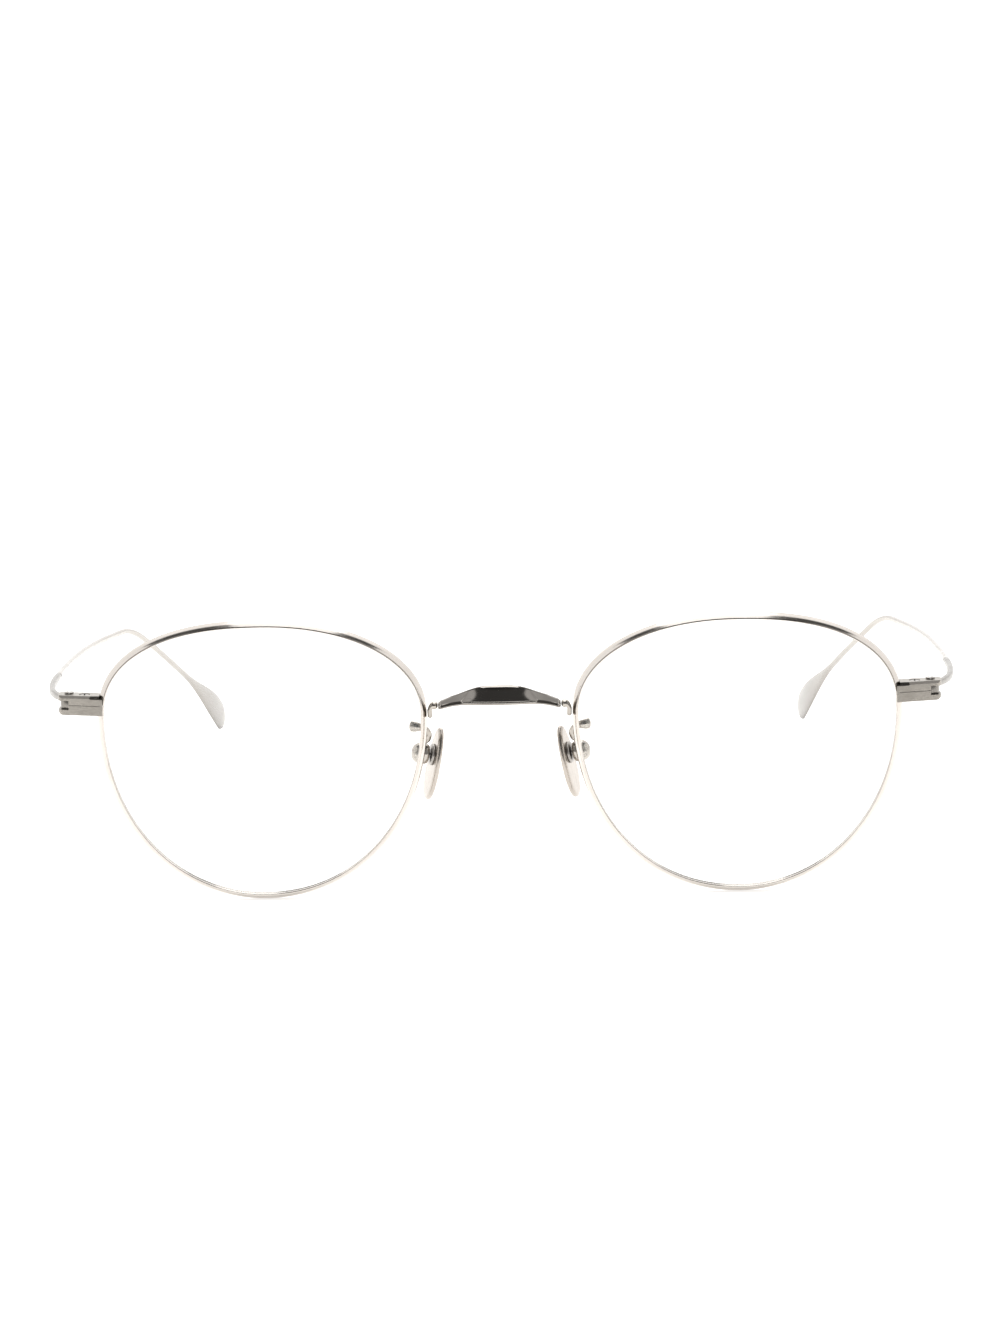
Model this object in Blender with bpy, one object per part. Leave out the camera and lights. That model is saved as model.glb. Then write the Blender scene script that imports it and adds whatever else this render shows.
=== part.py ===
"""Round wire eyeglasses in titanium: two thin panto rims, a saddle bridge, metal nose pads on cranked
arms, split closing blocks with three-barrel hinges, and wire temples that end in flat paddles.

Lengths are in millimetres and are turned into metres when an object is made. +X is the viewer's right
for someone who faces the front, +Y runs back along the temples and +Z is up. The rims' lowest points
and the temple paddles rest on Z = 0. Each piece is designed on the +X side and mirrored to the other.
"""

import math

import bmesh
import bpy
from mathutils import Vector

MM = 0.001
FRONT_Y = -69.88  # where the lenses' front apex lies, so that the whole box is centred on Y = 0
SIDES = {"left": -1, "right": 1}

# Rim: a panto outline, as four quarter superellipses about the lens centre
RIM_X = 34.95  # lens centre from the middle of the nose
RIM_WIRE = 0.95  # width of the wire as seen from the front
RIM_DEPTH = 1.8
RIM_GROOVE = 0.42  # depth of the V groove that holds the lens
HALF_TEMPORAL = 23.6
HALF_NASAL = 23.85
HALF_UPPER = 14.05
HALF_LOWER = 27.0
BEND_OUT_UP, BEND_IN_UP, BEND_OUT_LOW, BEND_IN_LOW = 2.33, 2.10, 2.05, 2.11
FACE_RADIUS = 130.0  # the lens and its rim follow this sphere
RIM_Z = HALF_LOWER + RIM_WIRE / 2
RIM_STEPS = 72
RIM_SPLIT = 0.14  # half the cut in the rim behind the closing blocks
LENS_THICKNESS = 1.5
LENS_GAP = 0.07

# Closing blocks and hinge: the blocks sweep back as they run out from the rim
BLOCK_Z = 29.65
BLOCK_HALF = 1.45
BLOCK_ROOT = 58.6
BLOCK_SWEEP = 0.26
BLOCK_FRONT = 0.95
BLOCK_DEPTH = 3.15
BLOCK_END = 64.75
BLOCK_LIP = 58.15  # the front of each block laps over the rim as far as this
LIP_BACK = 1.18
SEAM = 0.03  # half the seam between the two blocks
CHAMFER, CHAMFER_TILT = 0.38, math.radians(24)  # along the front upper edge
CORNER_RADIUS = 0.75
PIN_X, PIN_Y = 63.2, 4.05
SLOT_HALF = 0.66
EYE_RADIUS = 1.3
EYE_HALF = 0.52
PIN_RADIUS = 0.40
PIN_HOLE = 0.445
LOCK_X, LOCK_Y = 60.85, 3.05
# Screw heads: radius, then the heights of the two faces over the middle of the block
HINGE_HEAD = (0.68, BLOCK_HALF + 0.03, BLOCK_HALF + 0.30)
LOCK_HEAD = (0.76, BLOCK_HALF - 0.38, BLOCK_HALF - 0.02)
HINGE_TIP, LOCK_TIP = -1.4, -0.95

# Temple
TEMPLE_SLOPE = math.radians(3.6)
EAR_START = 98.0
EAR_RADIUS = 22.0
EAR_DROP = math.radians(31.5)
BAR_END = 38.0
WIRE = 0.88
PADDLE_WIDTH = 4.8
PADDLE_THICK = 0.8

# Nose pads: the ball of the stud is the point that the pad rocks about
BALL = Vector((11.65, 6.9, 20.7))
PAD_UP = Vector((-0.225, -0.15, 1.0)).normalized()
PAD_SPLAY = Vector((0.24, 1.0, 0.0))
PAD_OUT = PAD_SPLAY.cross(PAD_UP).normalized()  # away from the nose
PAD_BACK = PAD_UP.cross(PAD_OUT).normalized()
PAD_HEIGHT, PAD_WIDTH, PAD_THICK = 11.3, 6.0, 0.9
PAD_DROP = 1.35  # the pad's middle lies this far below the stud
CUP_MOUTH = -0.9  # along PAD_OUT from the ball
STUD_PLATE = 0.4
ROCK_GAP = 0.32


def clear_scene():
    for obj in list(bpy.data.objects):
        bpy.data.objects.remove(obj, do_unlink=True)


def material(name, colour, roughness, metallic, alpha=1.0):
    made = bpy.data.materials.new(name)
    made.use_nodes = True
    shader = made.node_tree.nodes["Principled BSDF"]
    shader.inputs["Base Color"].default_value = (*colour, 1.0)
    shader.inputs["Roughness"].default_value = roughness
    shader.inputs["Metallic"].default_value = metallic
    shader.inputs["Alpha"].default_value = alpha
    return made


def make_object(name, shape, side=1, finish=None, pivot=(0.0, 0.0, 0.0), sharp=35.0):
    """Turns a shape in millimetres into an object in metres, with its origin at the pivot."""
    if side < 0:
        bmesh.ops.scale(shape, vec=(-1, 1, 1), verts=shape.verts)
        bmesh.ops.reverse_faces(shape, faces=shape.faces)
    origin = Vector((pivot[0] * side, pivot[1], pivot[2]))
    bmesh.ops.translate(shape, vec=-origin, verts=shape.verts)
    bmesh.ops.scale(shape, vec=(MM, MM, MM), verts=shape.verts)
    mesh = bpy.data.meshes.new(name)
    shape.to_mesh(mesh)
    shape.free()
    mesh.shade_smooth()
    mesh.set_sharp_from_angle(angle=math.radians(sharp))
    obj = bpy.data.objects.new(name, mesh)
    obj.location = (origin + Vector((0, FRONT_Y, 0))) * MM
    bpy.context.scene.collection.objects.link(obj)
    if finish:
        mesh.materials.append(finish)
    return obj


def make_helper(name, shape, side):
    """A hidden solid that another one is cut by or joined with."""
    obj = make_object(name, shape, side)
    obj.hide_render = True
    obj.display_type = "WIRE"
    return obj


def combine(obj, helper, operation):
    step = obj.modifiers.new(operation.lower(), "BOOLEAN")
    step.operation = operation
    step.solver = "EXACT"
    step.object = helper


def skin(rings, closed=False):
    """A solid through rings of points: a closed loop, or a run with a flat cap at each end."""
    shape = bmesh.new()
    rows = [[shape.verts.new(p) for p in ring] for ring in rings]
    count = len(rows[0])
    pairs = list(zip(rows, rows[1:]))
    if closed:
        pairs.append((rows[-1], rows[0]))
    for near, far in pairs:
        for i in range(count):
            j = (i + 1) % count
            shape.faces.new((near[i], near[j], far[j], far[i]))
    if not closed:
        shape.faces.new(rows[0][::-1])
        shape.faces.new(rows[-1])
    bmesh.ops.recalc_face_normals(shape, faces=shape.faces)
    return shape


def turned(profile, centre, axis, steps=20):
    """A turned solid: profile is (radius, height) pairs along the axis. A radius of 0 closes it, and a
    profile that ends where it starts makes a ring."""
    axis = axis.normalized()
    across = axis.orthogonal().normalized()
    third = axis.cross(across)
    shape = bmesh.new()
    rows = []
    is_ring = profile[0] == profile[-1]
    for radius, height in profile[:-1] if is_ring else profile:
        middle = centre + axis * height
        if radius == 0:
            rows.append([shape.verts.new(middle)] * steps)
            continue
        turns = [2 * math.pi * i / steps for i in range(steps)]
        offsets = [across * math.cos(t) + third * math.sin(t) for t in turns]
        rows.append([shape.verts.new(middle + o * radius) for o in offsets])
    for near, far in zip(rows, rows[1:] + rows[:1] if is_ring else rows[1:]):
        for i in range(steps):
            j = (i + 1) % steps
            corners = dict.fromkeys((near[i], near[j], far[j], far[i]))
            if len(corners) > 2:
                shape.faces.new(corners)
    for row in () if is_ring else (rows[0], rows[-1]):
        if len(set(row)) > 2:
            shape.faces.new(row)
    bmesh.ops.recalc_face_normals(shape, faces=shape.faces)
    return shape


def cylinder(radius, low, high, x, y, steps=20):
    foot = Vector((x, y, 0.0))
    return turned([(radius, low), (radius, high)], foot, Vector((0, 0, 1)), steps)


def prism(outline, low, high):
    """A straight solid between two heights; outline is a list of (x, y)."""
    return skin([[Vector((x, y, z)) for x, y in outline] for z in (low, high)])


def smooth_path(points, steps):
    """A Catmull-Rom curve through the points, with the same number of steps in each span."""
    ends = [points[0] * 2 - points[1], *points, points[-1] * 2 - points[-2]]
    path = []
    for a, b, c, d in zip(ends, ends[1:], ends[2:], ends[3:]):
        for k in range(steps):
            t = k / steps
            run = (c - a) * t + (a * 2 - b * 5 + c * 4 - d) * t**2 + (b * 3 - a - c * 3 + d) * t**3
            path.append(b + run / 2)
    path.append(points[-1].copy())
    return path


def bar(path, rises, thicks, power=2.4, sides=10):
    """A bar along a path; rises are its widths in the upright plane, thicks those across it."""
    rings = []
    for i, point in enumerate(path):
        ahead = (path[min(i + 1, len(path) - 1)] - path[max(i - 1, 0)]).normalized()
        across = ahead.cross(Vector((0, 0, 1))).normalized()
        rise = across.cross(ahead)
        ring = []
        for k in range(sides):
            turn = 2 * math.pi * (k + 0.5) / sides
            c, s = math.cos(turn), math.sin(turn)
            u = math.copysign(abs(c) ** (2 / power), c) * thicks[i] / 2
            v = math.copysign(abs(s) ** (2 / power), s) * rises[i] / 2
            ring.append(point + across * u + rise * v)
        rings.append(ring)
    return skin(rings)


# ---- rims and lenses ----


def rim_radius(turn):
    c, s = math.cos(turn), math.sin(turn)
    wide = HALF_TEMPORAL if c > 0 else HALF_NASAL
    tall = HALF_UPPER if s > 0 else HALF_LOWER
    upper, lower = (BEND_OUT_UP, BEND_OUT_LOW) if c > 0 else (BEND_IN_UP, BEND_IN_LOW)
    power = upper if s > 0 else lower
    return (abs(c / wide) ** power + abs(s / tall) ** power) ** (-1 / power)


def rim_place(turn):
    """(x, z) on the middle of the rim wire about the lens centre, and the outward direction there."""
    near = [(rim_radius(t), t) for t in (turn - 1e-4, turn, turn + 1e-4)]
    points = [(radius * math.cos(t), radius * math.sin(t)) for radius, t in near]
    dx, dz = points[2][0] - points[0][0], points[2][1] - points[0][1]
    length = math.hypot(dx, dz)
    return points[1], (dz / length, -dx / length)


def sphere_depth(x, z):
    return (x * x + z * z) / (2 * FACE_RADIUS)


def rim_ring(turn, section):
    """Section points are (outward, backward) from the middle of the wire."""
    (x, z), (nx, nz) = rim_place(turn)
    depth = sphere_depth(x, z)
    return [Vector((RIM_X + x + nx * u, depth + v, RIM_Z + z + nz * u)) for u, v in section]


def rim_outer_x(height):
    """How far out the rim's outside lies at a height, near its widest point."""
    rise = height - RIM_Z
    power, tall = (BEND_OUT_UP, HALF_UPPER) if rise > 0 else (BEND_OUT_LOW, HALF_LOWER)
    return RIM_X + HALF_TEMPORAL * (1 - abs(rise / tall) ** power) ** (1 / power) + RIM_WIRE / 2


def split_turn():
    return math.atan2(BLOCK_Z - RIM_Z, HALF_TEMPORAL)


def build_rim(side_name, side, finish):
    half, deep = RIM_WIRE / 2, RIM_DEPTH / 2
    section = [
        (half, -deep * 0.6),
        (half, deep * 0.6),
        (half * 0.55, deep),
        (-half * 0.55, deep),
        (-half, deep * 0.75),
        (-half, deep * 0.5),
        (-half + RIM_GROOVE, 0.0),
        (-half, -deep * 0.5),
        (-half, -deep * 0.75),
        (-half * 0.55, -deep),
        (half * 0.55, -deep),
    ]
    gap = RIM_SPLIT / HALF_TEMPORAL
    start, run = split_turn() + gap, 2 * math.pi - 2 * gap
    rings = [rim_ring(start + run * i / RIM_STEPS, section) for i in range(RIM_STEPS + 1)]
    make_object("rim_" + side_name, skin(rings), side, finish)


def build_lens(side_name, side, finish):
    """A thin meniscus whose bevelled edge sits in the rim's groove."""
    half = LENS_THICKNESS / 2
    body_edge = -RIM_WIRE / 2 - LENS_GAP
    apex = body_edge + RIM_GROOVE - 0.04
    steps = RIM_STEPS
    shape = bmesh.new()
    turns = [split_turn() + 2 * math.pi * i / steps for i in range(steps)]

    def edge_row(out, back):
        return [shape.verts.new(rim_ring(t, [(out, back)])[0]) for t in turns]

    def face_rows(back):
        rows = []
        for share in (0.7, 0.35):
            row = []
            for turn in turns[::3]:
                (x, z), (nx, nz) = rim_place(turn)
                x, z = (x + nx * body_edge) * share, (z + nz * body_edge) * share
                row.append(shape.verts.new((RIM_X + x, sphere_depth(x, z) + back, RIM_Z + z)))
            rows.append(row)
        return rows, shape.verts.new((RIM_X, back, RIM_Z))

    rim_rows = [edge_row(body_edge, -half), edge_row(body_edge, -0.36), edge_row(apex, 0.0)]
    rim_rows += [edge_row(body_edge, 0.36), edge_row(body_edge, half)]
    for near, far in zip(rim_rows, rim_rows[1:]):
        for i in range(steps):
            j = (i + 1) % steps
            shape.faces.new((near[i], near[j], far[j], far[i]))
    for outer, back in ((rim_rows[0], -half), (rim_rows[-1], half)):
        (middle, inner), centre = face_rows(back)
        count = len(middle)
        for i in range(count):
            j = (i + 1) % count
            run = [outer[(3 * i + k) % steps] for k in range(4)]
            shape.faces.new((run[0], run[1], middle[i]))
            shape.faces.new((run[1], run[2], middle[j], middle[i]))
            shape.faces.new((run[2], run[3], middle[j]))
            shape.faces.new((middle[i], middle[j], inner[j], inner[i]))
            shape.faces.new((inner[i], inner[j], centre))
    bmesh.ops.recalc_face_normals(shape, faces=shape.faces)
    make_object("lens_" + side_name, shape, side, finish, sharp=25.0)


# ---- bridge ----


def bridge_heights(x):
    """(lowest, highest) of the saddle at a distance from the middle of the nose."""
    reach = abs(x)
    low = 28.98 - 0.9 * max(0.0, (reach - 4.5) / 4.5) ** 2
    high = 29.1 + 2.7 / (1 + (reach / 6.3) ** 3.4) - 0.20 * max(0.0, reach - 7.0)
    return low, high


BRIDGE_HALF = 9.0
BRIDGE_THICK = 1.3


def bridge_front(x):
    """The saddle bows forward between the rims."""
    return -0.25 + 1.55 * (x / BRIDGE_HALF) ** 2


def build_bridge(finish):
    rings = []
    steps = 20
    for i in range(steps + 1):
        x = BRIDGE_HALF * (2 * i / steps - 1)
        low, high = bridge_heights(x)
        tall, front = high - low, bridge_front(x)
        back = front + BRIDGE_THICK
        edge = min(0.3, tall * 0.28)
        outline = [
            (front + 0.35, low),
            (front + 0.05, low + tall * 0.3),
            (front, low + tall * 0.42),
            (front + 0.12, high - edge),
            (front + edge + 0.1, high),
            (back - edge, high),
            (back, high - edge),
            (back, low + edge),
            (back - edge, low),
        ]
        rings.append([Vector((x, y, z)) for y, z in outline])
    make_object("bridge_saddle", skin(rings), 1, finish, sharp=24.0)


def build_bridge_lug(side_name, side, finish):
    """The cranked end that carries the saddle and runs down the rim's nasal side."""
    corners = [(9.06, 1.95, 28.75), (9.8, 2.0, 28.72), (10.19, 2.05, 28.2)]
    corners += [(10.2, 2.1, 27.5), (10.2, 2.1, 26.9)]
    path = smooth_path([Vector(c) for c in corners], 3)
    rings = []
    for i, point in enumerate(path):
        ahead = (path[min(i + 1, len(path) - 1)] - path[max(i - 1, 0)]).normalized()
        across = ahead.cross(Vector((0, 1, 0))).normalized()
        wide = 0.5 if i < 4 else 0.39
        ring = []
        for k in range(8):
            turn = 2 * math.pi * (k + 0.5) / 8
            ring.append(point + across * wide * math.cos(turn) + Vector((0, 0.75, 0)) * math.sin(turn))
        rings.append(ring)
    make_object("bridge_lug_" + side_name, skin(rings), side, finish)


# ---- closing blocks, screws and washers ----


def swept(x, y):
    return x, y + (x - BLOCK_ROOT) * BLOCK_SWEEP


def block_outline(height, cut, outer):
    """The block's outline at a height, with its front edge cut back and its outer end at `outer`."""
    inner = rim_outer_x(height) + 0.02
    front, back = BLOCK_FRONT, BLOCK_FRONT + BLOCK_DEPTH
    return [
        swept(BLOCK_LIP, front + cut),
        swept(outer - 0.45, front + cut),
        swept(outer - 0.12, front + max(cut, 0.15)),
        swept(outer, front + 0.5),
        swept(outer, back - 0.5),
        swept(outer - 0.5, back),
        swept(inner, back),
        (inner, LIP_BACK),
        (BLOCK_LIP, LIP_BACK),
    ]


def build_block(name, levels, side, finish):
    """One half of the closing block, through (height, cut, outer) levels from the seam outwards."""
    shape = skin([[Vector((x, y, z)) for x, y in block_outline(z, cut, outer)] for z, cut, outer in levels])
    outside = levels[-1][0]
    eased = [e for e in shape.edges if all(abs(v.co.z - outside) < 1e-4 for v in e.verts)]
    bmesh.ops.bevel(shape, geom=eased, offset=0.11, segments=2, profile=0.6, affect="EDGES")
    return make_object(name, shape, side, finish, sharp=30.0)


def upper_levels():
    """The upper half has a chamfer along its front upper edge."""
    top = BLOCK_Z + BLOCK_HALF
    cut = CHAMFER * math.tan(CHAMFER_TILT)
    return [(BLOCK_Z + SEAM, 0.0, BLOCK_END), (top - CHAMFER, 0.0, BLOCK_END), (top, cut, BLOCK_END)]


def lower_levels():
    """The lower half has a rounded lower outer corner."""
    low = BLOCK_Z - BLOCK_HALF
    levels = [(BLOCK_Z - SEAM, 0.0, BLOCK_END)]
    for rise in (1.0, 0.7, 0.44, 0.21, 0.0):
        back = 1 - math.sqrt(1 - (1 - rise) ** 2)
        levels.append((low + CORNER_RADIUS * rise, 0.0, BLOCK_END - CORNER_RADIUS * back))
    return levels


def slot_cutter(side_name, side):
    """The gap for the temple's eye: round at the pin and open outwards and to the back."""
    reach = EYE_RADIUS + 0.12
    round_part = [
        (PIN_X + reach * math.cos(t), PIN_Y + reach * math.sin(t))
        for t in (math.radians(a) for a in range(180, 271, 15))
    ]
    outline = [
        *round_part,
        (PIN_X, BLOCK_FRONT - 0.5),
        (BLOCK_END + 1, BLOCK_FRONT - 0.5),
        (BLOCK_END + 1, PIN_Y + 3.0),
        (PIN_X - 4.0, PIN_Y + 3.0),
        (PIN_X - 3.1, PIN_Y - 0.12),
    ]
    low, high = BLOCK_Z - SLOT_HALF, BLOCK_Z + SLOT_HALF
    return make_helper("slot_cutter_" + side_name, prism(outline, low, high), side)


def build_closing_block(side_name, side, finish):
    upper = build_block("endpiece_upper_" + side_name, upper_levels(), side, finish)
    lower = build_block("endpiece_lower_" + side_name, lower_levels(), side, finish)
    slot = slot_cutter(side_name, side)
    pin = cylinder(PIN_HOLE, BLOCK_Z - 3, BLOCK_Z + 3, PIN_X, PIN_Y)
    pin_hole = make_helper("pin_hole_" + side_name, pin, side)
    lock_profile = [
        (PIN_HOLE, -1.0),
        (PIN_HOLE, BLOCK_HALF - 0.42),
        (0.82, BLOCK_HALF - 0.42),
        (0.82, BLOCK_HALF + 1),
    ]
    foot = Vector((LOCK_X, LOCK_Y, BLOCK_Z))
    lock = turned(lock_profile, foot, Vector((0, 0, 1)))
    lock_hole = make_helper("lock_hole_" + side_name, lock, side)
    for block in (upper, lower):
        for cutter in (slot, pin_hole, lock_hole):
            combine(block, cutter, "DIFFERENCE")


def build_screw(name, head, tip, x, y, side, finish):
    """A slotted screw along Z; heights are from the middle of the block."""
    head_radius, head_low, head_high = head
    profile = [
        (0.0, tip),
        (PIN_RADIUS * 0.75, tip),
        (PIN_RADIUS, tip + 0.12),
        (PIN_RADIUS, head_low),
        (head_radius, head_low),
        (head_radius, head_high - 0.1),
        (head_radius - 0.12, head_high),
        (0.0, head_high),
    ]
    foot = Vector((x, y, BLOCK_Z))
    screw = make_object(name, turned(profile, foot, Vector((0, 0, 1))), side, finish, (x, y, BLOCK_Z))
    half, top = 0.11, BLOCK_Z + head_high
    outline = [(x - half, y - 2), (x + half, y - 2), (x + half, y + 2), (x - half, y + 2)]
    slot = make_helper("slot_" + name, prism(outline, top - 0.16, top + 1), side)
    combine(screw, slot, "DIFFERENCE")


def build_washer(name, low, side, finish):
    profile = [(0.47, low), (1.2, low), (1.2, low + 0.09), (0.47, low + 0.09), (0.47, low)]
    foot = Vector((PIN_X, PIN_Y, BLOCK_Z))
    shape = turned(profile, foot, Vector((0, 0, 1)))
    make_object(name, shape, side, finish)


# ---- temples ----


def temple_height(y):
    """Height of the temple's middle: a straight slope, an arc at the ear, then a steeper slope."""
    slope = math.tan(TEMPLE_SLOPE)
    start = BLOCK_Z - (EAR_START - PIN_Y) * slope
    arc_run = EAR_RADIUS * (math.sin(EAR_DROP) - math.sin(TEMPLE_SLOPE))
    if y < EAR_START:
        return BLOCK_Z - max(0.0, y - PIN_Y - 3) * slope * (EAR_START - PIN_Y) / (EAR_START - PIN_Y - 3)
    if y < EAR_START + arc_run:
        angle = math.asin((y - EAR_START) / EAR_RADIUS + math.sin(TEMPLE_SLOPE))
        return start - EAR_RADIUS * (math.cos(TEMPLE_SLOPE) - math.cos(angle))
    arc_end = start - EAR_RADIUS * (math.cos(TEMPLE_SLOPE) - math.cos(EAR_DROP))
    return arc_end - (y - EAR_START - arc_run) * math.tan(EAR_DROP)


# (distance back, distance out) of the temple seen from above
BAR_PLAN = [(4.8, 63.35), (7.0, 63.9), (9.5, 64.8), (12.5, 65.75), (17.0, 66.7), (24.0, 67.35)]
BAR_PLAN += [(31.0, 67.6), (BAR_END, 67.6)]
SHAFT_PLAN = [(BAR_END, 67.6), (48, 67.5), (60, 67.1), (72, 66.4), (84, 65.0), (93, 63.4), (100, 61.9)]
SHAFT_PLAN += [(106, 60.0), (112, 57.6), (119, 54.9), (126, 52.4), (133, 50.3), (140.3, 48.7)]


def plan_path(plan, steps):
    """The plan as a smooth curve in space, at the temple's height."""
    flat = smooth_path([Vector((out, back, 0.0)) for back, out in plan], steps)
    return [Vector((p.x, p.y, temple_height(p.y))) for p in flat]


def build_temple_hinge(side_name, side, finish):
    """The eye that turns on the hinge screw, and the bar that carries the temple wire."""
    path = plan_path(BAR_PLAN, 3)
    rises = [0.94 + 0.16 * min(1.0, max(0.0, (p.y - 7.5) / 6)) for p in path]
    thicks = [0.95] * len(path)
    eye = cylinder(EYE_RADIUS, BLOCK_Z - EYE_HALF, BLOCK_Z + EYE_HALF, PIN_X, PIN_Y, 28)
    pivot = (PIN_X, PIN_Y, BLOCK_Z)
    hinge = make_object("temple_hinge_" + side_name, eye, side, finish, pivot)
    arm = make_helper("hinge_bar_" + side_name, bar(path, rises, thicks, power=3.2), side)
    combine(hinge, arm, "UNION")
    hole = cylinder(PIN_HOLE, BLOCK_Z - 3, BLOCK_Z + 3, PIN_X, PIN_Y)
    combine(hinge, make_helper("eye_hole_" + side_name, hole, side), "DIFFERENCE")


def paddle_share(y):
    """How far the wire has spread into the paddle: 0 along the wire, 1 where it is widest."""
    share = min(1.0, max(0.0, (y - 121.5) / 15.5))
    return share * share * (3 - 2 * share)


def build_temple_shaft(side_name, side, finish):
    path = plan_path(SHAFT_PLAN, 4)
    path[0] = path[0] + Vector((0, 0.06, 0))
    tip = path[-1].y
    round_from = tip - 2.8
    rises, thicks = [], []
    for point in path:
        spread = paddle_share(point.y)
        rise = WIRE + (PADDLE_WIDTH - WIRE) * spread
        end = max(0.0, (point.y - round_from) / (tip - round_from))
        rounding = math.sqrt(max(0.0, 1 - (end * 0.985) ** 2))
        rises.append(rise * rounding)
        thicks.append((WIRE + (PADDLE_THICK - WIRE) * spread) * (0.45 + 0.55 * rounding))
    pivot = (PIN_X, PIN_Y, BLOCK_Z)
    make_object("temple_shaft_" + side_name, bar(path, rises, thicks), side, finish, pivot)


# ---- nose pads ----


def pad_point(out, back, up):
    """A point from the ball, along the pad's own directions."""
    return BALL + PAD_OUT * out + PAD_BACK * back + PAD_UP * up


def build_pad_arm(side_name, side, finish):
    """A wire soldered behind the rim: it starts as a flattened foot, sweeps round and ends at the cup."""
    corners = [(13.35, 4.05, 25.35), (12.6, 3.8, 25.3), (11.6, 3.75, 25.15), (10.8, 4.1, 24.7)]
    corners += [(10.5, 4.8, 23.85), (10.75, 5.5, 23.0), (11.35, 5.9, 22.6)]
    path = smooth_path([Vector(c) for c in corners], 3)
    count = len(path)
    depths = [0.95 - 0.13 * i / (count - 1) for i in range(count)]
    depths[:2] = [0.45, 0.85]
    heights = [deep * (1.75 - 0.75 * min(1.0, max(0.0, i - 2) / 6)) for i, deep in enumerate(depths)]
    rings = []
    for i, point in enumerate(path):
        ahead = (path[min(i + 1, count - 1)] - path[max(i - 1, 0)]).normalized()
        across = ahead.cross(Vector((0, 1, 0))).normalized()
        third = across.cross(ahead)
        turns = [2 * math.pi * (k + 0.5) / 8 for k in range(8)]
        tall, deep = heights[i] / 2, depths[i] / 2
        ring = [point + across * math.cos(t) * tall + third * math.sin(t) * deep for t in turns]
        rings.append(ring)
    make_object("pad_arm_" + side_name, skin(rings), side, finish)


def build_pad_cup(side_name, side, finish):
    """A domed cup, open towards the pad, that holds the ball of the stud."""
    profile = [
        (0.0, 1.0),
        (0.98, 1.0),
        (0.98, CUP_MOUTH),
        (1.35, CUP_MOUTH),
        (1.58, CUP_MOUTH + 0.35),
        (1.62, CUP_MOUTH + 1.1),
        (1.48, CUP_MOUTH + 1.75),
        (1.05, CUP_MOUTH + 2.25),
        (0.0, CUP_MOUTH + 2.5),
    ]
    make_object("pad_cup_" + side_name, turned(profile, BALL, PAD_OUT, 18), side, finish)


def build_pad_stud(side_name, side, finish):
    """Ball, neck and round base plate of the pad."""
    plate = CUP_MOUTH - ROCK_GAP
    profile = [
        (0.0, 0.84),
        (0.45, 0.7),
        (0.78, 0.3),
        (0.84, 0.0),
        (0.74, -0.4),
        (0.45, -0.72),
        (0.45, plate),
        (1.45, plate),
        (1.6, plate - 0.2),
        (1.6, plate - STUD_PLATE),
        (0.0, plate - STUD_PLATE),
    ]
    make_object("pad_stud_" + side_name, turned(profile, BALL, PAD_OUT, 18), side, finish, BALL)


def pad_outline(steps):
    """(back, up) round the pad: an egg shape that is widest below the middle."""
    points = []
    for i in range(steps):
        turn = 2 * math.pi * i / steps
        up = PAD_HEIGHT / 2 * math.sin(turn)
        wide = PAD_WIDTH / 2 * (1 - 0.16 * math.sin(turn))
        points.append((wide * math.cos(turn), up))
    return points


def build_nose_pad(side_name, side, finish):
    face = CUP_MOUTH - ROCK_GAP - STUD_PLATE - 0.04
    outline = pad_outline(28)
    layers = [(0.0, 0.80), (0.12, 0.93), (PAD_THICK * 0.5, 1.0)]
    layers += [(PAD_THICK * 0.85, 0.9), (PAD_THICK, 0.72)]
    rings = []
    for deep, share in layers:
        rise = 1 - (1 - share) * 0.55
        ring = [pad_point(face - deep, back * share, up * rise - PAD_DROP) for back, up in outline]
        rings.append(ring)
    make_object("nose_pad_" + side_name, skin(rings), side, finish, BALL)


def main():
    clear_scene()
    polished = material("polished_titanium", (0.66, 0.63, 0.585), 0.16, 1.0)
    satin = material("satin_titanium", (0.42, 0.38, 0.33), 0.38, 1.0)
    pad_metal = material("pad_titanium", (0.72, 0.69, 0.645), 0.22, 1.0)
    clear = material("lens_clear", (0.95, 0.97, 0.97), 0.03, 0.0, 0.15)
    steel = material("steel_screw", (0.33, 0.31, 0.29), 0.3, 1.0)
    washer = material("washer_polymer", (0.05, 0.045, 0.04), 0.55, 0.0)
    build_bridge(polished)
    for side_name, side in SIDES.items():
        build_rim(side_name, side, polished)
        build_lens(side_name, side, clear)
        build_bridge_lug(side_name, side, polished)
        build_closing_block(side_name, side, satin)
        hinge_name, lock_name = "hinge_screw_" + side_name, "rim_lock_screw_" + side_name
        build_screw(hinge_name, HINGE_HEAD, HINGE_TIP, PIN_X, PIN_Y, side, steel)
        build_screw(lock_name, LOCK_HEAD, LOCK_TIP, LOCK_X, LOCK_Y, side, steel)
        build_washer("hinge_washer_upper_" + side_name, EYE_HALF + 0.025, side, washer)
        build_washer("hinge_washer_lower_" + side_name, -EYE_HALF - 0.115, side, washer)
        build_temple_hinge(side_name, side, satin)
        build_temple_shaft(side_name, side, polished)
        build_pad_arm(side_name, side, polished)
        build_pad_cup(side_name, side, polished)
        build_pad_stud(side_name, side, polished)
        build_nose_pad(side_name, side, pad_metal)


main()
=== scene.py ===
"""The finished look of the round wire eyeglasses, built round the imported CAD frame.

Shapes are made in millimetres, measured from the front of the lenses, with +X to the viewer's right,
+Y back along the temples and +Z up. Each piece is made for the +X side and mirrored to the other.
"""

import math

import bmesh
import bpy
from mathutils import Matrix, Vector


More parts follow.
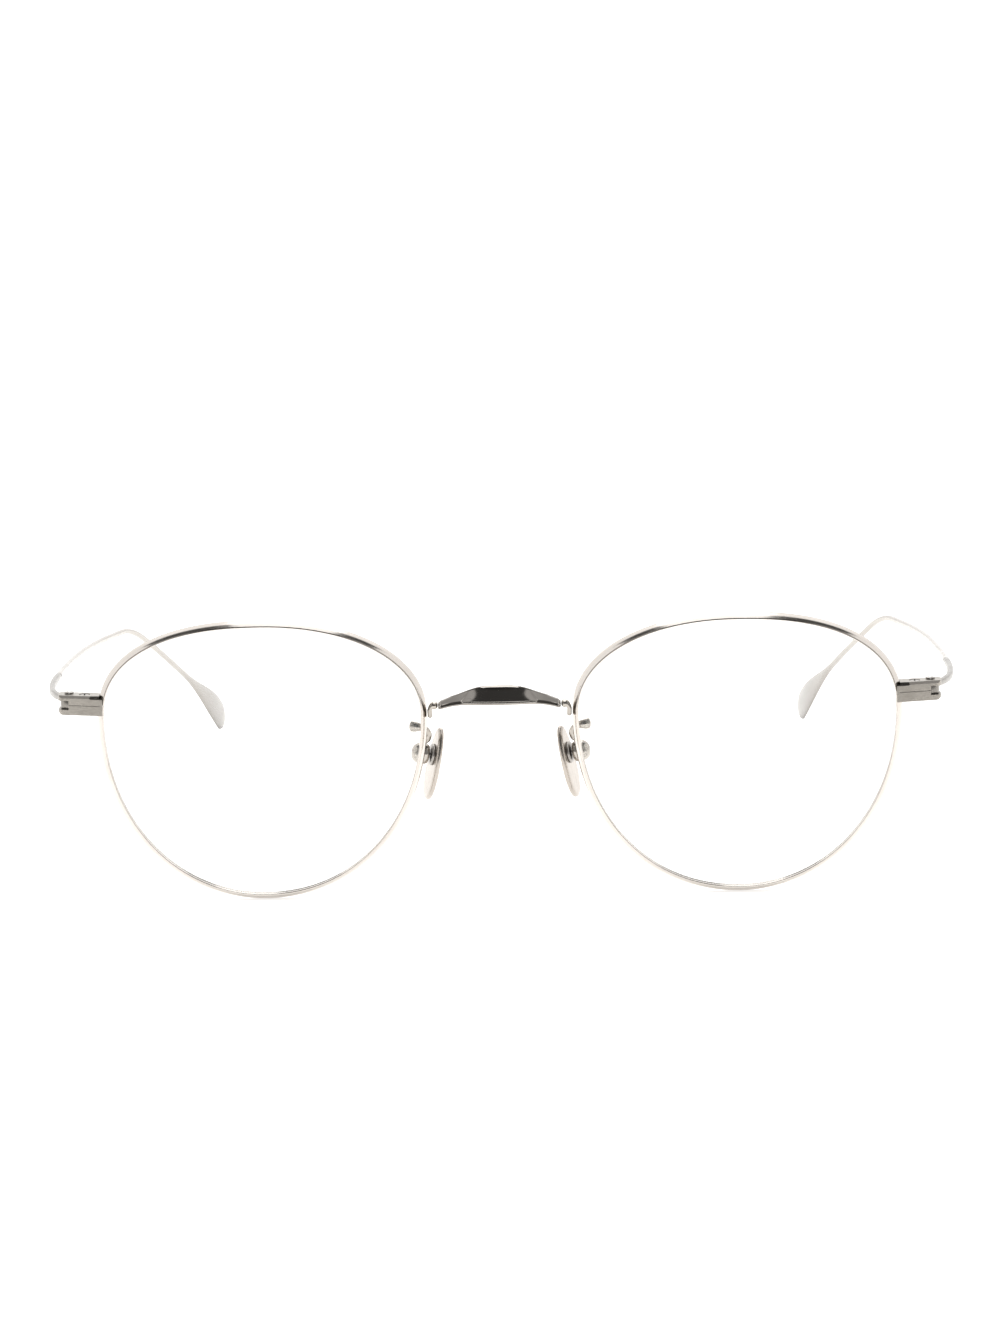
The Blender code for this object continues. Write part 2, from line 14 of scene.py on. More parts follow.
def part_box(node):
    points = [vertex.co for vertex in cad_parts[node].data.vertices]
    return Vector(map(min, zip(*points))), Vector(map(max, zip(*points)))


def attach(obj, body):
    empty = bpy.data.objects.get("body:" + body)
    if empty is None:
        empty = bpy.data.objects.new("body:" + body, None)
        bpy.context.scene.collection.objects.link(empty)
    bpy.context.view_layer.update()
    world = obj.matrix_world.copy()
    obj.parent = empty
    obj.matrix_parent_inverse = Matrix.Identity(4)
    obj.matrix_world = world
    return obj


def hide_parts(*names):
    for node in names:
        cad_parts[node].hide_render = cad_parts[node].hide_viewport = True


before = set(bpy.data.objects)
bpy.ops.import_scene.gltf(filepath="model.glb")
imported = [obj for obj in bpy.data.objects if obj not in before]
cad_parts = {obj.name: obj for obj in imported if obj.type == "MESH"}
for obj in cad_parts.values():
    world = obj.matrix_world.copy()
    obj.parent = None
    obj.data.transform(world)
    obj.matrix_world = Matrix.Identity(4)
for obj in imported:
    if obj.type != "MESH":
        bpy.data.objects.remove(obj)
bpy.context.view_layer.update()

MM = 0.001
UP = Vector((0, 0, 1))
SIDES = {"left": -1, "right": 1}

# The same driving dimensions as the CAD part
RIM_X, RIM_Z = 34.95, 27.475
RIM_WIRE, RIM_DEPTH, RIM_GROOVE = 0.95, 1.8, 0.42
HALF_TEMPORAL, HALF_NASAL, HALF_UPPER, HALF_LOWER = 23.6, 23.85, 14.05, 27.0
BEND_OUT_UP, BEND_IN_UP, BEND_OUT_LOW, BEND_IN_LOW = 2.33, 2.10, 2.05, 2.11
FACE_RADIUS = 130.0
RIM_SPLIT = 0.14
BLOCK_Z, BLOCK_HALF, BLOCK_ROOT, BLOCK_SWEEP = 29.65, 1.45, 58.6, 0.26
BLOCK_FRONT, BLOCK_DEPTH, BLOCK_END, BLOCK_LIP, LIP_BACK = 0.95, 3.15, 64.75, 58.15, 1.18
SEAM, SLOT_HALF = 0.03, 0.66
PIN_X, PIN_Y, PIN_HOLE = 63.2, 4.05, 0.445
LOCK_X, LOCK_Y = 60.85, 3.05
# Cuts on the block's upper front edge: sweep, height, lean in degrees, where it ends, and how far back it
# starts. The second one is a short facet beside the rim that faces more squarely forward.
CHAMFER = (BLOCK_SWEEP, 0.40, 24, BLOCK_END + 1, 0.0)
RIM_SIDE_FACET = (0.11, 0.49, 20, 61.5, 0.26)
CORNER_RADIUS = 0.75
# Screw heads: radius, then the heights of the two faces over the middle of the block
HINGE_HEAD = (0.68, BLOCK_HALF + 0.03, BLOCK_HALF + 0.30)
LOCK_HEAD = (0.76, BLOCK_HALF - 0.38, BLOCK_HALF - 0.02)
EYE_RADIUS, EYE_HALF = 1.3, 0.52
TEMPLE_SLOPE, EAR_START, EAR_RADIUS, EAR_DROP = math.radians(3.6), 98.0, 22.0, math.radians(31.5)
WIRE, PADDLE_WIDTH, PADDLE_THICK, BAR_END = 0.88, 4.8, 0.8, 38.0
BALL = Vector((11.65, 6.9, 20.7))
PAD_UP = Vector((-0.225, -0.15, 1.0)).normalized()
PAD_OUT = Vector((0.24, 1.0, 0.0)).cross(PAD_UP).normalized()
PAD_BACK = PAD_UP.cross(PAD_OUT).normalized()
PAD_HEIGHT, PAD_WIDTH, PAD_THICK, PAD_DROP = 11.3, 6.0, 0.9, 1.35
CUP_MOUTH, STUD_PLATE, ROCK_GAP = -0.9, 0.4, 0.32
BRIDGE_HALF, BRIDGE_THICK = 9.0, 1.3

# The CAD box is centred on Y = 0, so the lens's front surface gives where these shapes start
lens_low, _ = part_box("lens_right")
FRONT_Y = lens_low.y / MM + 0.75


# ---- materials ----


class Graph:
    """A short way to write a material's nodes."""

    def __init__(self, name):
        self.material = bpy.data.materials.new(name)
        self.material.use_nodes = True
        self.nodes = self.material.node_tree.nodes
        self.links = self.material.node_tree.links
        self.shader = self.nodes["Principled BSDF"]
        self.place = self.node("ShaderNodeTexCoord").outputs["Object"]

    def node(self, kind, **settings):
        made = self.nodes.new(kind)
        for key, value in settings.items():
            setattr(made, key, value)
        return made

    def join(self, source, node, socket):
        self.links.new(source, node.inputs[socket])

    def stretched(self, scale, turn=(0, 0, 0)):
        mapping = self.node("ShaderNodeMapping")
        mapping.inputs["Scale"].default_value = scale
        mapping.inputs["Rotation"].default_value = turn
        self.join(self.place, mapping, "Vector")
        return mapping.outputs["Vector"]

    def noise(self, scale, detail=3.0, rough=0.5, along=None, warp=0.0):
        made = self.node("ShaderNodeTexNoise")
        made.inputs["Scale"].default_value = scale
        made.inputs["Detail"].default_value = detail
        made.inputs["Roughness"].default_value = rough
        made.inputs["Distortion"].default_value = warp
        self.join(along if along is not None else self.place, made, "Vector")
        return made.outputs["Fac"]

    def ramp(self, source, low, high, start=0.3, end=0.7):
        made = self.node("ShaderNodeMapRange")
        made.inputs["From Min"].default_value = start
        made.inputs["From Max"].default_value = end
        made.inputs["To Min"].default_value = low
        made.inputs["To Max"].default_value = high
        self.join(source, made, "Value")
        return made.outputs["Result"]

    def blend(self, share, first, second):
        made = self.node("ShaderNodeMix", data_type="RGBA")
        self.join(share, made, "Factor")
        for socket, value in (("A", first), ("B", second)):
            target = [s for s in made.inputs if s.name == socket and s.type == "RGBA"][0]
            if isinstance(value, tuple):
                target.default_value = (*value, 1.0)
            else:
                self.links.new(value, target)
        return [s for s in made.outputs if s.type == "RGBA"][0]

    def math(self, operation, first, second):
        made = self.node("ShaderNodeMath", operation=operation)
        self.join(first, made, 0)
        if isinstance(second, (int, float)):
            made.inputs[1].default_value = second
        else:
            self.join(second, made, 1)
        return made.outputs["Value"]

    def bump(self, height, depth_mm, strength=1.0):
        made = self.node("ShaderNodeBump")
        made.inputs["Distance"].default_value = depth_mm * MM
        made.inputs["Strength"].default_value = strength
        self.join(height, made, "Height")
        self.join(made.outputs["Normal"], self.shader, "Normal")


def metal(name, colour, worn, rough, grain, grain_depth, grain_share, painted_shade_run=None):
    """Bare metal: slow colour drift, hazy patches, fine grain along `grain`, and hairline scratches.
    The last argument, if given, is (from, to, colour): over that run along the temple the colour is painted
    over towards the other colour, a painted shade standing for the dark reflections on the bend and the
    paddle."""
    g = Graph(name)
    g.shader.inputs["Metallic"].default_value = 1.0
    g.shader.inputs["IOR"].default_value = 2.2
    drift = g.noise(170.0, 2.0, 0.5)
    haze = g.noise(900.0, 4.0, 0.6, warp=0.4)
    streaks = g.noise(1.0, 3.0, 0.65, along=g.stretched(grain))
    scratches = g.noise(1.0, 2.0, 0.5, along=g.stretched((900, 5200, 5200), (0.4, 0.2, 0.7)), warp=0.3)
    hairline = g.ramp(scratches, 0.0, 1.0, 0.66, 0.74)
    tint = g.blend(g.ramp(drift, 0.0, 1.0, 0.35, 0.65), colour, worn)
    shade = tuple(c * 0.86 for c in colour)
    # Painted shade: along the given run of the temple the colour turns to the darker one.
    if painted_shade_run:
        axes = g.node("ShaderNodeSeparateXYZ")
        g.join(g.place, axes, "Vector")
        start, end = ((FRONT_Y + run) * MM for run in painted_shade_run[:2])
        tint = g.blend(g.ramp(axes.outputs["Y"], 0.0, 1.0, start, end), tint, painted_shade_run[2])
    tint = g.blend(g.ramp(streaks, 0.0, grain_share, 0.45, 0.75), tint, shade)
    g.join(tint, g.shader, "Base Color")
    level = g.ramp(haze, rough * 0.8, rough * 1.25)
    level = g.math("ADD", level, g.math("MULTIPLY", hairline, 0.10))
    level = g.math("ADD", level, g.ramp(streaks, -0.04 * grain_share, 0.12 * grain_share))
    g.join(level, g.shader, "Roughness")
    g.bump(g.math("SUBTRACT", streaks, g.math("MULTIPLY", hairline, 0.5)), grain_depth)
    return g.material


def lens_material():
    """Clear resin with an anti-reflection coat: all but invisible face on, glossier at a slant."""
    g = Graph("lens_resin")
    g.shader.inputs["Roughness"].default_value = 0.03
    g.shader.inputs["IOR"].default_value = 1.5
    g.shader.inputs["Specular IOR Level"].default_value = 0.5
    smear = g.noise(60.0, 3.0, 0.55, warp=1.5)
    g.join(g.blend(g.ramp(smear, 0.0, 1.0), (0.93, 0.97, 0.965), (0.97, 0.985, 0.98)), g.shader, "Base Color")
    g.join(g.ramp(smear, 0.02, 0.07, 0.45, 0.8), g.shader, "Roughness")
    facing = g.node("ShaderNodeLayerWeight")
    facing.inputs["Blend"].default_value = 0.25
    g.join(g.ramp(facing.outputs["Facing"], 0.035, 0.42, 0.15, 1.0), g.shader, "Alpha")
    return g.material


def polymer_material():
    g = Graph("washer_polymer_black")
    fleck = g.noise(6000.0, 3.0, 0.6)
    tint = g.blend(g.ramp(fleck, 0.0, 1.0), (0.035, 0.032, 0.03), (0.07, 0.062, 0.055))
    g.join(tint, g.shader, "Base Color")
    g.join(g.ramp(fleck, 0.42, 0.62), g.shader, "Roughness")
    g.bump(fleck, 0.004)
    return g.material


# Each metal: name, clean and worn colour, roughness, grain frequency, grain depth in mm, share of grain
POLISHED = metal(
    "titanium_polished", (0.60, 0.56, 0.52), (0.64, 0.60, 0.56), 0.14, (2600, 2600, 2600), 0.0008, 0.25,
)
MIRROR = metal(
    "titanium_mirror", (0.58, 0.545, 0.505), (0.62, 0.585, 0.545), 0.07, (2600, 2600, 2600), 0.0004, 0.15,
)
FACET = metal(
    "titanium_facet", (0.50, 0.465, 0.425), (0.56, 0.525, 0.485), 0.10, (500, 5200, 7800), 0.001, 0.4,
)
# Titanium for the bridge's lower band, top, back and underside: rougher than the saddle, and painted darker
# as painted shade.
BAND = metal(
    "titanium_band_painted_shade", (0.27, 0.25, 0.23), (0.33, 0.31, 0.285), 0.16, (5200, 2600, 2600), 0.001, 0.4,
)
# Titanium for the lugs, pad arms and cups, set darker than the rim: a painted shade standing for the dark
# reflections on these small parts.
SMALL_METAL = metal(
    "titanium_fittings", (0.39, 0.36, 0.325), (0.45, 0.42, 0.38), 0.15, (2600, 2600, 2600), 0.0008, 0.3,
)
# Near-black titanium for the bridge's engraved groove: painted shade, the dark line the groove shows put into
# its colour.
GROOVE = metal(
    "titanium_groove_painted_shade", (0.06, 0.055, 0.05), (0.10, 0.09, 0.08), 0.45, (5200, 5200, 5200), 0.003, 0.6,
)
# The temple wire is painted darker from 114 to 134 mm back, a painted shade for the dark reflections on the
# bend and the paddle.
WIRE_METAL = metal(
    "titanium_wire", (0.44, 0.415, 0.385), (0.49, 0.465, 0.435), 0.20, (5200, 260, 5200), 0.0015, 0.4,
    painted_shade_run=(114.0, 134.0, (0.26, 0.245, 0.23)),
)
SATIN = metal(
    "titanium_satin", (0.32, 0.298, 0.268), (0.39, 0.365, 0.33), 0.30, (500, 5200, 7800), 0.0035, 0.9,
)
PAD_METAL = metal(
    "titanium_pad", (0.43, 0.39, 0.35), (0.48, 0.44, 0.40), 0.22, (4200, 4200, 900), 0.0015, 0.35,
)
# Turned steel for the screws; the pad stem wears it too, as painted shade.
SCREW_STEEL_AND_STEM_SHADE = metal(
    "steel_turned_and_stem_shade", (0.34, 0.32, 0.30), (0.40, 0.38, 0.36), 0.28, (7000, 7000, 7000), 0.003, 0.7,
)
HINGE_METAL = metal(
    "titanium_hinge", (0.21, 0.197, 0.18), (0.27, 0.255, 0.235), 0.24, (4200, 380, 5200), 0.002, 0.5,
)
LENS = lens_material()
POLYMER = polymer_material()


# ---- shape tools ----


def skin(rings, closed=False):
    """A surface through rings of points: a closed loop, or a run with a cap at each end."""
    shape = bmesh.new()
    rows = [[shape.verts.new(p) for p in ring] for ring in rings]
    count = len(rows[0])
    pairs = list(zip(rows, rows[1:]))
    if closed:
        pairs.append((rows[-1], rows[0]))
    for near, far in pairs:
        for i in range(count):
            j = (i + 1) % count
            shape.faces.new((near[i], near[j], far[j], far[i]))
    if not closed:
        shape.faces.new(rows[0][::-1])
        shape.faces.new(rows[-1])
    bmesh.ops.recalc_face_normals(shape, faces=shape.faces)
    return shape


def turned(profile, centre, axis, steps=64):
    """A turned solid from (radius, height) pairs along an axis; one that ends where it starts is a ring."""
    axis = axis.normalized()
    across = axis.orthogonal().normalized()
    third = axis.cross(across)
    shape = bmesh.new()
    rows = []
    is_ring = profile[0] == profile[-1]
    for radius, height in profile[:-1] if is_ring else profile:
        middle = centre + axis * height
        if radius == 0:
            rows.append([shape.verts.new(middle)] * steps)
            continue
        turns = [2 * math.pi * i / steps for i in range(steps)]
        row = [shape.verts.new(middle + (across * math.cos(t) + third * math.sin(t)) * radius) for t in turns]
        rows.append(row)
    for near, far in zip(rows, rows[1:] + rows[:1] if is_ring else rows[1:]):
        for i in range(steps):
            j = (i + 1) % steps
            corners = dict.fromkeys((near[i], near[j], far[j], far[i]))
            if len(corners) > 2:
                shape.faces.new(corners)
    bmesh.ops.recalc_face_normals(shape, faces=shape.faces)
    return shape


def rounded(profile, radius=0.08, steps=3):
    """The profile with each of its inner corners eased."""
    eased = [profile[0]]
    for before, corner, after in zip(profile, profile[1:], profile[2:]):
        a, b, c = (Vector(p) for p in (before, corner, after))
        reach = min(radius, (a - b).length * 0.45, (c - b).length * 0.45)
        start, end = b + (a - b).normalized() * reach, b + (c - b).normalized() * reach
        for k in range(steps + 1):
            t = k / steps
            eased.append(tuple(start * (1 - t) ** 2 + b * 2 * t * (1 - t) + end * t**2))
    eased.append(profile[-1])
    return eased


def smooth_path(points, steps):
    """A Catmull-Rom curve through the points."""
    ends = [points[0] * 2 - points[1], *points, points[-1] * 2 - points[-2]]
    path = []
    for a, b, c, d in zip(ends, ends[1:], ends[2:], ends[3:]):
        for k in range(steps):
            t = k / steps
            run = (c - a) * t + (a * 2 - b * 5 + c * 4 - d) * t**2 + (b * 3 - a - c * 3 + d) * t**3
            path.append(b + run / 2)
    path.append(points[-1].copy())
    return path


def tube(path, wide, high, level=UP, power=2.0, sides=24):
    """A rod along a path: wide is its size across the level direction, high the size along it."""
    rings = []
    for i, point in enumerate(path):
        ahead = (path[min(i + 1, len(path) - 1)] - path[max(i - 1, 0)]).normalized()
        across = ahead.cross(level).normalized()
        rise = across.cross(ahead)
        ring = []
        for k in range(sides):
            turn = 2 * math.pi * (k + 0.5) / sides
            c, s = math.cos(turn), math.sin(turn)
            u = math.copysign(abs(c) ** (2 / power), c) * wide[i] / 2
            v = math.copysign(abs(s) ** (2 / power), s) * high[i] / 2
            ring.append(point + across * u + rise * v)
        rings.append(ring)
    return skin(rings)


def end_taper(i, count, run, least=0.12):
    """A factor that rounds off the two ends of a rod over `run` rings."""
    near = min(i, count - 1 - i)
    if near >= run:
        return 1.0
    share = 1 - near / run
    return max(least, math.sqrt(max(0.0, 1 - share * share)))


def piece(name, shape, side, body, finish, nodes, sharp=40.0):
    """A shape in millimetres, made into a shown piece that stands for CAD nodes and rides on a body."""
    if side < 0:
        bmesh.ops.scale(shape, vec=(-1, 1, 1), verts=shape.verts)
        bmesh.ops.reverse_faces(shape, faces=shape.faces)
    bmesh.ops.translate(shape, vec=(0, FRONT_Y, 0), verts=shape.verts)
    bmesh.ops.scale(shape, vec=(MM, MM, MM), verts=shape.verts)
    mesh = bpy.data.meshes.new(name)
    shape.to_mesh(mesh)
    shape.free()
    mesh.shade_smooth()
    mesh.set_sharp_from_angle(angle=math.radians(sharp))
    mesh.materials.append(finish)
    obj = bpy.data.objects.new(name, mesh)
    bpy.context.scene.collection.objects.link(obj)
    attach(obj, body)
    if nodes:
        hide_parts(*nodes)
    return obj


def carved(base, cutters, bevel, segments=3, joined=()):
    """base with others joined to it and cutters taken out, and its edges eased; all in millimetres."""
    parts = []
    for shape in (base, *joined, *cutters):
        mesh = bpy.data.meshes.new("carving")
        shape.to_mesh(mesh)
        shape.free()
        part = bpy.data.objects.new("carving", mesh)
        bpy.context.scene.collection.objects.link(part)
        parts.append(part)
    for k, part in enumerate(parts[1:]):
        step = parts[0].modifiers.new("step", "BOOLEAN")
        step.operation = "UNION" if k < len(joined) else "DIFFERENCE"
        step.solver = "EXACT"
        step.object = part
    if bevel:
        ease = parts[0].modifiers.new("ease", "BEVEL")
        ease.width = bevel
        ease.segments = segments
        ease.limit_method = "ANGLE"
        ease.angle_limit = math.radians(38)
    bpy.context.view_layer.update()
    result = parts[0].evaluated_get(bpy.context.evaluated_depsgraph_get())
    made = bmesh.new()
    made.from_mesh(result.to_mesh())
    result.to_mesh_clear()
    for part in parts:
        bpy.data.objects.remove(part)
    return made


def prism(outline, low, high):
    """An upright block with (x, y) corners between two heights."""
    return skin([[Vector((x, y, z)) for x, y in outline] for z in (low, high)])


# ---- rims and lenses ----


def rim_radius(turn):
    """Distance from the lens centre to the wire's middle: four superellipse quarters make the panto round."""
    c, s = math.cos(turn), math.sin(turn)
    wide = HALF_TEMPORAL if c > 0 else HALF_NASAL
    tall = HALF_UPPER if s > 0 else HALF_LOWER
    upper, lower = (BEND_OUT_UP, BEND_OUT_LOW) if c > 0 else (BEND_IN_UP, BEND_IN_LOW)
    power = upper if s > 0 else lower
    return (abs(c / wide) ** power + abs(s / tall) ** power) ** (-1 / power)


def rim_place(turn):
    """(x, z) on the middle of the rim wire about the lens centre, and the outward direction there."""
    turns = (turn - 1e-3, turn, turn + 1e-3)
    near = [(rim_radius(t) * math.cos(t), rim_radius(t) * math.sin(t)) for t in turns]
    dx, dz = near[2][0] - near[0][0], near[2][1] - near[0][1]
    length = math.hypot(dx, dz)
    return near[1], (dz / length, -dx / length)


def sphere_depth(x, z):
    """How far back the lens curve is at a place across the lens."""
    return (x * x + z * z) / (2 * FACE_RADIUS)


def rim_ring(turn, section):
    """Section points are (outward, backward) from the middle of the wire."""
    (x, z), (nx, nz) = rim_place(turn)
    depth = sphere_depth(x, z)
    return [Vector((RIM_X + x + nx * u, depth + v, RIM_Z + z + nz * u)) for u, v in section]


def rim_section():
    """The wire's own profile, as (outward, backward) points: a fine ridge along the lens side of the
    front, a wide bevel that falls away from it, a rounded back and the V groove."""
    half, deep = RIM_WIRE / 2, RIM_DEPTH / 2
    points = [(-half, -deep + 0.14), (-half + 0.03, -deep + 0.06), (-half + 0.075, -deep + 0.015)]
    u, v = -half + 0.12, -deep
    points.append((u, v))
    bevel = [(0.05, 7), (0.05, 17), (0.05, 28), (0.05, 38)]
    bevel += [(0.10, 45), (0.10, 51), (0.10, 57), (0.10, 62), (0.10, 66)]
    for wide, tilt in bevel:
        u, v = u + wide, v + wide * math.tan(math.radians(tilt))
        points.append((u, v))
    start = math.radians(68)
    radius = (half - u) / (1 - math.sin(start))
    for k in range(1, 8):
        turn = start + (math.pi / 2 - start) * k / 7
        out = u + radius * (math.sin(turn) - math.sin(start))
        points.append((out, v + radius * (math.cos(start) - math.cos(turn))))
    points += [(half, 0.45), (half - 0.015, 0.62), (half - 0.07, 0.75)]
    points += [(half - 0.17, 0.84), (half - 0.32, deep), (-half + 0.3, deep)]
    points += [(-half + 0.12, deep - 0.03), (-half + 0.03, deep - 0.10), (-half, deep - 0.2)]
    points += [(-half, 0.46), (-half + RIM_GROOVE, 0.0), (-half, -0.46)]
    return points


def build_rim(side_name, side):
    section = rim_section()
    gap = RIM_SPLIT / HALF_TEMPORAL
    start = math.atan2(BLOCK_Z - RIM_Z, HALF_TEMPORAL) + gap
    run, steps = 2 * math.pi - 2 * gap, 300
    rings = [rim_ring(start + run * i / steps, section) for i in range(steps + 1)]
    node = ["rim_" + side_name]
    piece("rim_wire_" + side_name, skin(rings), side, "front", POLISHED, node)


def build_lens(side_name, side):
    """A meniscus with a bevelled, finely ground edge that sits in the rim's groove."""
    half, body_edge = 0.75, -RIM_WIRE / 2 - 0.07
    apex = body_edge + RIM_GROOVE - 0.04
    steps = 180
    turns = [2 * math.pi * i / steps for i in range(steps)]
    shape = bmesh.new()

    def ring(out, back):
        return [shape.verts.new(rim_ring(t, [(out, back)])[0]) for t in turns]

    def face_ring(share, back):
        row = []
        for turn in turns:
            (x, z), (nx, nz) = rim_place(turn)
            x, z = (x + nx * body_edge) * share, (z + nz * body_edge) * share
            row.append(shape.verts.new((RIM_X + x, sphere_depth(x, z) + back, RIM_Z + z)))
        return row

    shares = (0.12, 0.3, 0.5, 0.68, 0.84, 0.96)
    front = [[shape.verts.new((RIM_X, -half, RIM_Z))] * steps] + [face_ring(s, -half) for s in shares]
    back = [face_ring(s, half) for s in reversed(shares)] + [[shape.verts.new((RIM_X, half, RIM_Z))] * steps]
    edge = [ring(body_edge, -half), ring(body_edge, -0.36), ring(apex, 0.0)]
    edge += [ring(body_edge, 0.36), ring(body_edge, half)]
    rows = front + edge + back
    for near, far in zip(rows, rows[1:]):
        for i in range(steps):
            j = (i + 1) % steps
            corners = dict.fromkeys((near[i], near[j], far[j], far[i]))
            shape.faces.new(corners)
    bmesh.ops.recalc_face_normals(shape, faces=shape.faces)
    node = ["lens_" + side_name]
    piece("lens_clear_" + side_name, shape, side, "front", LENS, node, sharp=25.0)


# ---- bridge ----


def bridge_heights(x):
    """(lowest, highest) of the saddle at x."""
    reach = abs(x)
    low = 28.98 - 0.9 * max(0.0, (reach - 4.5) / 4.5) ** 2
    high = 29.1 + 2.7 / (1 + (reach / 6.3) ** 3.4) - 0.20 * max(0.0, reach - 7.0)
    return low, high


def bridge_front(x):
    """The saddle bows forward between the rims."""
    return -0.25 + 1.55 * (x / BRIDGE_HALF) ** 2


def ease(share):
    share = min(1.0, max(0.0, share))
    return share * share * (3 - 2 * share)


def bridge_section(x):
    """(outline, groove) of the saddle at x; groove tells which points lie in the engraved line."""
    reach = abs(x)
    low, high = bridge_heights(x)
    front = bridge_front(x)
    back = front + BRIDGE_THICK
    end = 1 - ease((reach - 8.35) / 0.4)
    wing = ease((reach - 5.45) / 0.2) * end
    band = 0.50 - 0.18 * ease((reach - 5.2) / 0.5)
    face_low, face_high = low + 0.60 - 0.02 * wing, high - 0.07
    lean = (face_high - face_low) * (0.40 - 0.02 * ease((reach - 4.5) / 2))
    pillow = 0.17 * max(0.0, 1 - (reach / 5.3) ** 2)
    outline = [(back - 0.16, low), (back - 0.5, low), (front + 0.42, low), (front + 0.14, low + 0.02)]
    outline += [(front + 0.04, low + 0.06), (front + 0.015, low + 0.13), (front + 0.022, low + band - 0.03)]
    cut = 0.17 * wing
    outline += [(front + 0.03, low + band), (front + 0.06 + cut, low + band + 0.03)]
    outline += [(front + 0.09 + cut, face_low - 0.03), (front + 0.09, face_low)]
    for k in range(1, 13):
        share = k / 12
        crown = pillow * math.sin(math.pi * share)
        facet = ease((reach - 5.6 + 1.3 * share) / 0.16) * end
        sink = 0.07 * facet * (1 - share * 0.7)
        rise = face_low + (face_high - face_low) * share
        outline.append((front + 0.09 + sink + lean * share - crown, rise))
    top = front + 0.12 + lean
    outline += [(top + 0.06, high - 0.02), (top + 0.17, high), (back - 0.1, high)]
    outline += [(back - 0.03, high - 0.03), (back, high - 0.1), (back, low + 0.16), (back - 0.05, low + 0.05)]
    return outline, (7, 8, 9)


def build_bridge():
    """A saddle with a narrow lower band and a leaning upper face. On each wing an L-shaped groove sets
    the upper facet apart from the band and from the crowned middle, and its faces are painted near black, a
    painted shade. The band and the top are duller, and they, the back and the underside are painted darker, a
    painted shade."""
    rings = []
    steps = 220
    for i in range(steps + 1):
        x = BRIDGE_HALF * (2 * i / steps - 1)
        outline, groove = bridge_section(x)
        low, high = bridge_heights(x)
        squeeze = end_taper(i, steps + 1, 5, 0.75)
        middle_z, middle_y = (low + high) / 2, bridge_front(x) + BRIDGE_THICK / 2
        ring = []
        for y, z in outline:
            ring.append(Vector((x, middle_y + (y - middle_y) * squeeze, middle_z + (z - middle_z) * squeeze)))
        rings.append(ring)
    shape = skin(rings)
    shape.faces.ensure_lookup_table()
    count = len(rings[0])
    for i in range(steps):
        reach = abs(BRIDGE_HALF * (2 * (i + 0.5) / steps - 1))
        in_wing = 5.5 < reach < 8.5
        # Painted shade: the groove's faces in the wings take the near-black material.
        for k in groove if in_wing else ():
            shape.faces[i * count + k].material_index = 1
        # Painted shade: the band, the underside, the back and the top take the darker material.
        for k in (*range(groove[0]), *range(count - 8, count)):
            shape.faces[i * count + k].material_index = 2
    nodes = ["bridge_saddle"]
    saddle = piece("bridge_sculpted", shape, 1, "front", MIRROR, nodes, sharp=48.0)
    saddle.data.materials.append(GROOVE)
    saddle.data.materials.append(BAND)


def build_lug(side_name, side):
    """The cranked end that carries the saddle and runs down the rim, with its solder fillet."""
    corners = [(9.06, 1.95, 28.75), (9.8, 2.0, 28.72), (10.19, 2.05, 28.2)]
    corners += [(10.2, 2.1, 27.5), (10.2, 2.1, 26.9)]
    path = smooth_path([Vector(c) for c in corners], 12)
    count = len(path)
    wide, deep = [], []
    for i in range(count):
        down = ease((i - 8) / 16)
        round_off = end_taper(i, count, 5, 0.45)
        wide.append((1.12 - 0.40 * down) * round_off)
        deep.append(1.38 * round_off)
    shape = tube(path, deep, wide, level=Vector((1, 0, 0.35)), power=2.5)
    node = ["bridge_lug_" + side_name]
    piece("bridge_end_" + side_name, shape, side, "front", SMALL_METAL, node)


# ---- closing blocks, screws and washers ----


def swept(x, y):
    """A place on the block, which runs back as it goes outwards."""
    return x, y + (x - BLOCK_ROOT) * BLOCK_SWEEP


def rim_outer_x(height):
    rise = height - RIM_Z
    power, tall = (BEND_OUT_UP, HALF_UPPER) if rise > 0 else (BEND_OUT_LOW, HALF_LOWER)
    return RIM_X + HALF_TEMPORAL * (1 - abs(rise / tall) ** power) ** (1 / power) + RIM_WIRE / 2


def block_outline(height):
    inner = rim_outer_x(height) + 0.02
    front, back, outer = BLOCK_FRONT, BLOCK_FRONT + BLOCK_DEPTH, BLOCK_END
    points = [swept(BLOCK_LIP, front), swept(outer - 0.45, front), swept(outer - 0.12, front + 0.15)]
    points += [swept(outer, front + 0.5), swept(outer, back - 0.5), swept(outer - 0.5, back)]
    return points + [swept(inner, back), (inner, LIP_BACK), (BLOCK_LIP, LIP_BACK)]


def top_chamfer(sweep, tall, tilt, reach, set_back):
    """What a leaning cut takes off the front upper edge of the block."""
    top, front = BLOCK_Z + BLOCK_HALF, BLOCK_FRONT + (BLOCK_LIP - BLOCK_ROOT) * BLOCK_SWEEP
    rings = []
    for x in (BLOCK_LIP - 1.0, reach):
        edge = front + set_back + (x - BLOCK_LIP) * sweep
        back = edge + (tall + 0.5) * math.tan(math.radians(tilt))
        low = [(edge - 2, top - tall), (edge, top - tall), (back, top + 0.5), (edge - 2, top + 0.5)]
        rings.append([Vector((x, y, z)) for y, z in low])
    return skin(rings)


def bottom_corner(radius):
    """What rounding the lower outer corner takes off."""
    middle_x, middle_z = BLOCK_END - radius, BLOCK_Z - BLOCK_HALF + radius
    turns = [math.radians(a) for a in range(0, -91, -6)]
    outline = [(middle_x + radius * math.cos(t), middle_z + radius * math.sin(t)) for t in turns]
    under = middle_z - radius - 1
    outline += [(middle_x, under), (BLOCK_END + 1, under), (BLOCK_END + 1, middle_z)]
    return skin([[Vector((x, y, z)) for x, z in outline] for y in (-1, 8)])


